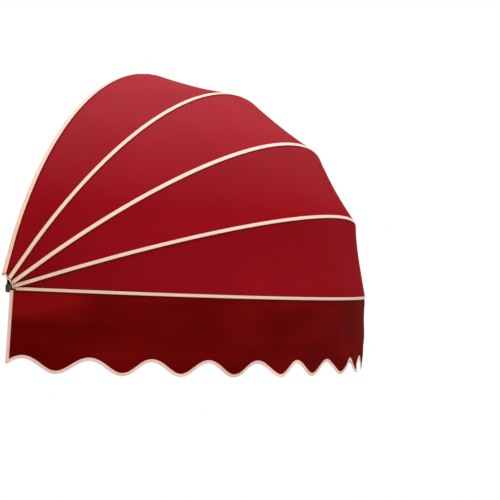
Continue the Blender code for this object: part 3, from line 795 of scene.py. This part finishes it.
class ValanceSurface:
    """Cloth that hangs plumb from the front bow, as a function of run along it and drop below it.

    It moves out and in by slow slanted folds that grow towards the free edge, and by a small
    flute at each scallop.
    """

    def __init__(self):
        share = cloth_shares()
        run = run_at(FRONT, share, VALANCE_CUT)
        line = beside_bow(FRONT, share, CLOTH_LIFT, 0.0, VALANCE_CUT)
        self.length = float(run[-1])
        first = line[:1] * 2 - line[1:2]
        last = line[-1:] * 2 - line[-2:-1]
        self.line = np.concatenate((first, line, last))
        self.run = np.concatenate(([-run[1]], run, [2 * run[-1] - run[-2]]))
        tangent = np.gradient(self.line[:, :2], self.run, axis=0)
        tangent /= np.linalg.norm(tangent, axis=1, keepdims=True)
        self.outward = np.stack((tangent[:, 1], -tangent[:, 0]), -1)

    def normal(self, run):
        side = np.stack([np.interp(run, self.run, self.outward[:, axis]) for axis in (0, 1)], -1)
        return np.concatenate((side, np.zeros((*np.shape(run), 1))), -1)

    def folds(self, run, drop):
        """Flutes, waves, the puckers of the seam and one long crease below it.

        Puckers and crease are bells, exp(-(distance / reach)^2).  Beside the tape the cloth
        never goes in.
        """
        depth = np.clip(-drop / SCALLOP_TIP, 0, 1.1)
        phase = FULL_TURN * SCALLOPS * (run / self.length - 0.5)
        flute = FLUTE_HEIGHT * depth ** 2 * (1 - np.cos(phase)) / 2
        wave = 0
        for height, length, slant, start in VALANCE_FOLDS:
            wave = wave + height * np.sin(FULL_TURN * (run + slant * drop) / length + start)
        ends = np.clip(np.minimum(run, self.length - run) / END_HOLD, 0, 1)
        sway = wave * depth ** FOLD_GROWTH * (END_SWAY + (1 - END_SWAY) * ends)
        drift = PUCKER_DRIFT * np.sin(run * PUCKER_DRIFT_RATE)
        gather = 1 + np.sin(FULL_TURN * run / PUCKER_PITCH + drift)
        pucker = PUCKER_HEIGHT * gather * np.exp(-((drop + PUCKER_DROP) / PUCKER_REACH) ** 2)
        beside = run - CREASE_RUN
        below = (drop + CREASE_DROP + CREASE_SLOPE * beside) / CREASE_DEPTH
        crease = CREASE_HEIGHT * np.exp(-below ** 2 - (beside / CREASE_SPREAD) ** 2)
        limit = TUCK_SLOPE * np.minimum(0, drop + TUCK_DROP)
        return np.maximum(flute + sway + pucker + crease, limit)

    def at(self, run, drop, height=0.0):
        run = run - END_SLANT * drop / SCALLOP_TIP * (2 * run / self.length - 1)
        point = np.stack([np.interp(run, self.run, self.line[:, axis]) for axis in range(3)], -1)
        point[..., 2] += drop
        return point + self.normal(run) * (self.folds(run, drop) + height)[..., None]


def add_valance(surface, finish):
    run = np.linspace(CLOTH_IN_TAPE, surface.length - CLOTH_IN_TAPE, VALANCE_COLUMNS)
    low = scallop_edge(run, surface.length) + CLOTH_IN_TAPE
    share = np.linspace(0, 1, VALANCE_ROWS)[:, None]
    drop = -SEAM_DROP * (1 - share) + low * share
    run = np.broadcast_to(run, drop.shape)
    points = surface.at(run, drop)
    mesh = grid_mesh("valance_cloth", points, np.stack((run, drop), -1))
    piece = add_piece("valance_cloth", mesh, finish)
    add_thickness(piece, CLOTH)
    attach(piece, BODIES[FRONT])
    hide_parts("valance")
    return piece, points


def edge_line(surface):
    """The valance's free edge in run and drop: down one end, along the scallops, up the other."""
    top = -(TAPE_WIDTHS[FRONT] / 2 + SEAT_GAP)
    low = float(scallop_edge(np.array([0.0]), surface.length)[0])
    down = np.stack((np.zeros(END_STEPS), np.linspace(top, low, END_STEPS)), -1)
    turn = np.linspace(0, math.pi / 2, CORNER_STEPS)[1:-1]
    corner = CORNER_RADIUS - CORNER_RADIUS * np.cos(turn)
    wave = np.linspace(CORNER_RADIUS, surface.length - CORNER_RADIUS, VALANCE_COLUMNS)
    run = np.concatenate((corner, wave, surface.length - corner[::-1]))
    along = np.stack((run, scallop_edge(run, surface.length)), -1)
    up = down[::-1] + np.array([surface.length, 0])
    return np.concatenate((down, along, up))


def add_valance_binding(surface, finish):
    """Folded tape that follows the free edge, its hems lying on both faces of the cloth."""
    line = edge_line(surface)
    along = np.gradient(line, axis=0)
    along /= np.linalg.norm(along, axis=1, keepdims=True)
    inward = np.stack((-along[:, 1], along[:, 0]), -1)
    section = folded_tape_section(BINDING_WIDTH)
    run = line[:, 0] + inward[:, 0] * section[:, :1]
    drop = line[:, 1] + inward[:, 1] * section[:, :1]
    points = surface.at(run, drop, np.broadcast_to(section[:, 1:], run.shape))
    steps = np.linalg.norm(np.diff(line, axis=0), axis=1)
    length = np.concatenate(([0.0], np.cumsum(steps)))
    loop = np.append(section[:, 0], section[0, 0])
    uv = np.stack(np.broadcast_arrays(length[None], loop[:, None]), -1)
    mesh = grid_mesh("valance_edge_tape", points, uv, closed=True)
    piece = add_piece("valance_edge_tape", mesh, finish)
    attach(piece, BODIES[FRONT])
    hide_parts("valance_binding")
    return piece


def add_steel(node, body, finish):
    """A CAD piece with its edges eased: its triangles merged, then a small bevel."""
    mesh = frame["nodes"][node].data.copy()
    mesh.materials.clear()
    shape = bmesh.new()
    shape.from_mesh(mesh)
    bmesh.ops.remove_doubles(shape, verts=shape.verts, dist=WELD)
    bmesh.ops.dissolve_limit(shape, angle_limit=FLAT_ANGLE, verts=shape.verts,
                             edges=shape.edges)
    shape.to_mesh(mesh)
    shape.free()
    mesh.shade_smooth()
    mesh.set_sharp_from_angle(angle=SHARP_EDGE)
    piece = add_piece(f"{node}_part", mesh, finish)
    edge = piece.modifiers.new("eased edges", "BEVEL")
    edge.width = STEEL_BEVEL
    edge.segments = 2
    edge.limit_method = "ANGLE"
    edge.angle_limit = SHARP_EDGE
    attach(piece, body)
    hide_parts(node)


def add_floor():
    """A pale floor, seen as white, and clear from below."""
    mesh = bpy.data.meshes.new("floor")
    half = FLOOR_SIZE / 2
    level = HINGE_Z - FLOOR_BELOW_HINGE
    sides = ((-half, -half), (half, -half), (half, half), (-half, half))
    corners = [(x, y, level) for x, y in sides]
    mesh.from_pydata(corners, [], [(0, 1, 2, 3)])
    finish = Finish("pale_floor", {"Base Color": (0.80, 0.80, 0.80, 1.0), "Roughness": 0.9})
    mesh.materials.append(finish.material)
    floor = bpy.data.objects.new("floor", mesh)
    bpy.context.scene.collection.objects.link(floor)
    seen = finish.node("ShaderNodeLightPath").outputs["Is Camera Ray"]
    white = finish.node("ShaderNodeEmission", None, {"Color": (1, 1, 1, 1), "Strength": 1.0})
    lit = finish.shader.outputs[0]
    shown = finish.node("ShaderNodeMixShader", None, {0: seen, 1: lit, 2: white.outputs[0]})
    below = finish.node("ShaderNodeNewGeometry").outputs["Backfacing"]
    clear = finish.node("ShaderNodeBsdfTransparent")
    values = {0: below, 1: shown.outputs[0], 2: clear.outputs[0]}
    both = finish.node("ShaderNodeMixShader", None, values)
    output = finish.tree.nodes["Material Output"]
    finish.feed(output.inputs["Surface"], both.outputs[0])


def add_world():
    """Even studio light, and plain white behind the object, in metal and through glass."""
    world = bpy.data.worlds.new("studio")
    bpy.context.scene.world = world
    world.use_nodes = True
    tree = world.node_tree
    background = tree.nodes["Background"]
    background.inputs["Color"].default_value = (1.0, 0.97, 0.95, 1.0)
    background.inputs["Strength"].default_value = WORLD_STRENGTH
    white = tree.nodes.new("ShaderNodeBackground")
    white.inputs["Color"].default_value = (1.0, 1.0, 1.0, 1.0)
    path = tree.nodes.new("ShaderNodeLightPath")
    either = tree.nodes.new("ShaderNodeMath")
    either.operation = "MAXIMUM"
    tree.links.new(path.outputs["Is Camera Ray"], either.inputs[0])
    tree.links.new(path.outputs["Is Glossy Ray"], either.inputs[1])
    every = tree.nodes.new("ShaderNodeMath")
    every.operation = "MAXIMUM"
    tree.links.new(either.outputs[0], every.inputs[0])
    tree.links.new(path.outputs["Is Transmission Ray"], every.inputs[1])
    mix = tree.nodes.new("ShaderNodeMixShader")
    tree.links.new(every.outputs[0], mix.inputs[0])
    tree.links.new(background.outputs[0], mix.inputs[1])
    tree.links.new(white.outputs[0], mix.inputs[2])
    tree.links.new(mix.outputs[0], tree.nodes["World Output"].inputs["Surface"])


def add_lamp(name, place, target, size, power, colour):
    lamp = bpy.data.lights.new(name, "AREA")
    lamp.shape = "DISK"
    lamp.size = size
    lamp.energy = power
    lamp.color = colour
    holder = bpy.data.objects.new(name, lamp)
    holder.location = place
    holder.rotation_mode = "QUATERNION"
    holder.rotation_quaternion = (Vector(target) - Vector(place)).to_track_quat("-Z", "Y")
    bpy.context.scene.collection.objects.link(holder)


def add_lights():
    add_lamp("sky_lamp", (0.1, -1.6, 4.2), LIT_POINT, 3.0, 205.0, (1.0, 0.98, 0.97))
    add_lamp("side_lamp", (-4.2, -3.4, 1.5), LIT_POINT, 2.2, 85.0, (1.0, 0.97, 0.95))


def add_camera():
    camera = bpy.data.cameras.new("camera")
    camera.sensor_width = SENSOR
    camera.lens = LENS
    camera.clip_start = 0.05
    camera.clip_end = 200.0
    holder = bpy.data.objects.new("camera", camera)
    bpy.context.scene.collection.objects.link(holder)
    cos_pitch = math.cos(CAMERA_PITCH)
    ahead = (math.sin(CAMERA_YAW) * cos_pitch, math.cos(CAMERA_YAW) * cos_pitch)
    forward = Vector((*ahead, -math.sin(CAMERA_PITCH)))
    level = Vector((math.cos(CAMERA_YAW), -math.sin(CAMERA_YAW), 0.0))
    upright = level.cross(forward)
    right = level * math.cos(CAMERA_ROLL) + upright * math.sin(CAMERA_ROLL)
    up = upright * math.cos(CAMERA_ROLL) - level * math.sin(CAMERA_ROLL)
    turn = Matrix((right, up, -forward)).transposed()
    holder.matrix_world = Matrix.Translation(CAMERA_PLACE) @ turn.to_4x4()
    bpy.context.scene.camera = holder


def build():
    panel_cloth = make_panel_cloth()
    valance_cloth = make_valance_cloth()
    bow_tape = make_tape("bow_tape", TAPE_WIDTHS[0] / 2 - STITCH_INSET, 0.75)
    edge_tape = make_tape("edge_tape", BINDING_WIDTH - STITCH_INSET, 0.15)
    coat = make_powder_coat()
    # The hinge steel's colours are painted shade, darker than its zinc plate
    zinc = make_zinc("hinge_zinc_painted_shade", HINGE_IN_SHADE, HINGE_IN_DEEP_SHADE, 0.6)
    clip_zinc = make_zinc("clip_zinc", CLEAN_ZINC, DULL_ZINC, 0.9)
    nylon = make_nylon()
    tapes = [add_bow_tape(index, bow_tape) for index in range(len(BOWS))]
    for index in range(len(BOWS)):
        add_bow_tube(index, coat)
    for index in range(FRONT):
        panel, points, uv = add_panel(index, panel_cloth)
        hub_tape = add_hub_tape(index, edge_tape)
        flat_area(points)
    surface = ValanceSurface()
    valance, points = add_valance(surface, valance_cloth)
    binding = add_valance_binding(surface, edge_tape)
    min(flat_area(points), SCALLOP_TIP * surface.length)
    # The valance and its binding each get a mesh of their own
    for piece in (valance, binding):
        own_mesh(piece)
    finishes = {"zinc_steel": zinc, "nylon": nylon}
    slots = {entry["node"]: entry["material_slot"] for entry in frame["record"]["subparts"]}
    for body, nodes in frame["record"]["behaviour"]["bodies"].items():
        for node in nodes:
            if node.startswith("wall_clip"):
                add_steel(node, body, clip_zinc)
            elif slots[node] in finishes:
                add_steel(node, body, finishes[slots[node]])


build()
add_floor()
add_world()
add_lights()
add_camera()
bpy.context.scene.view_settings.view_transform = "Standard"
bpy.context.view_layer.update()
